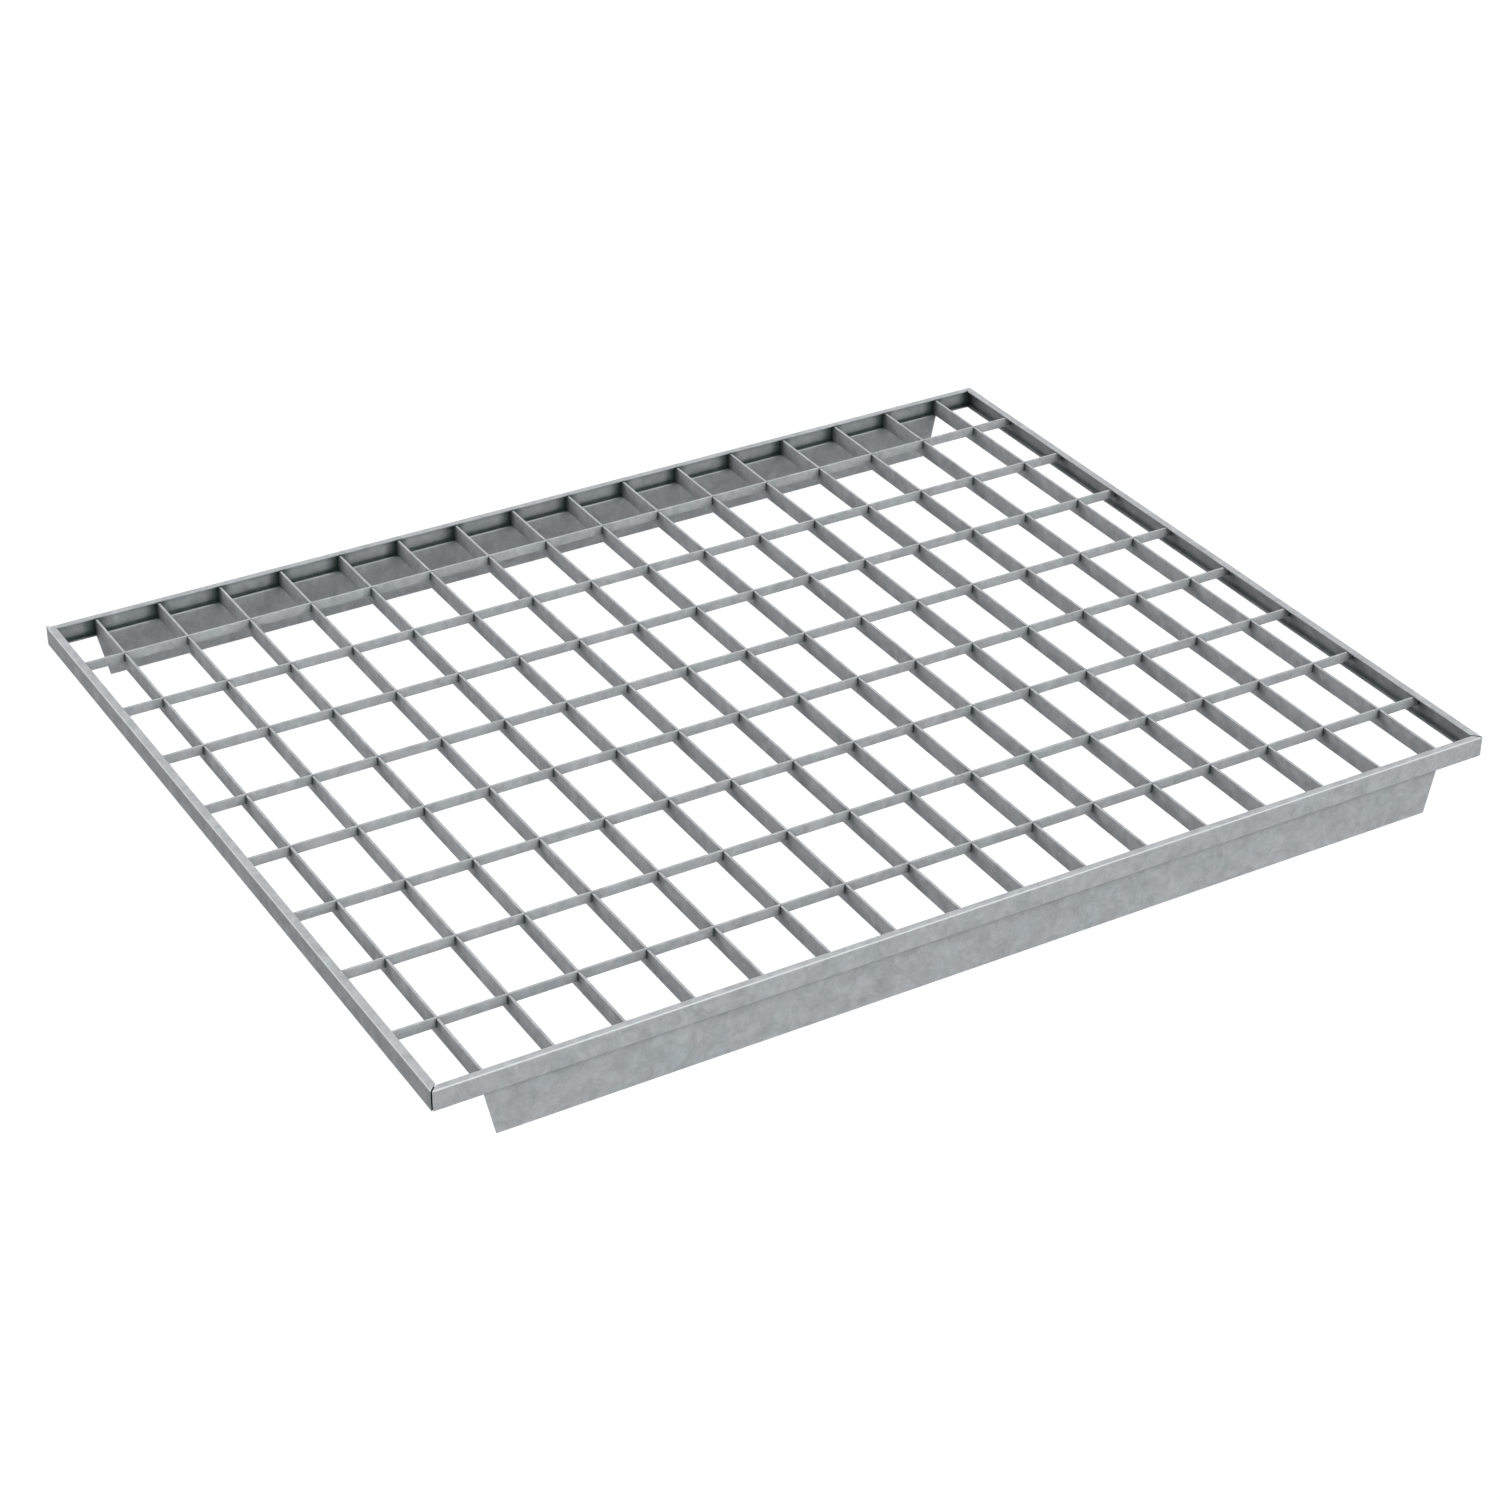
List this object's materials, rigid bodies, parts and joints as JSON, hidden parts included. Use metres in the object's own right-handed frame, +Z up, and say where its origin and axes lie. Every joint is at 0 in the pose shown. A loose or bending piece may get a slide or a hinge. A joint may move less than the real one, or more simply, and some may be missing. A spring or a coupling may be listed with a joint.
{
  "type": "steel grating panel",
  "caption": "Rectangular galvanised grating panel: crossing flat bars in a folded edge channel, with a tapered flap folded down at front and rear to drop between rack beams.",
  "frame": {"origin": "centre of the panel in plan, at the level of the flaps' lower edges", "axes": "+X along the front edge to the right, +Y from the front edge to the rear edge, +Z up through the walking or storage side"},
  "size_m": [1.089, 0.867, 0.0677],
  "materials": {
    "galvanised_bar": "hot-dip galvanised, matt grey",
    "galvanised_sheet": "hot-dip galvanised, matt grey with cloudy spangle"
  },
  "bodies": {
    "root": {"bar_grid": "galvanised_bar", "front_channel": "galvanised_sheet", "rear_channel": "galvanised_sheet", "left_channel": "galvanised_sheet", "right_channel": "galvanised_sheet"}
  },
  "joints": []
}
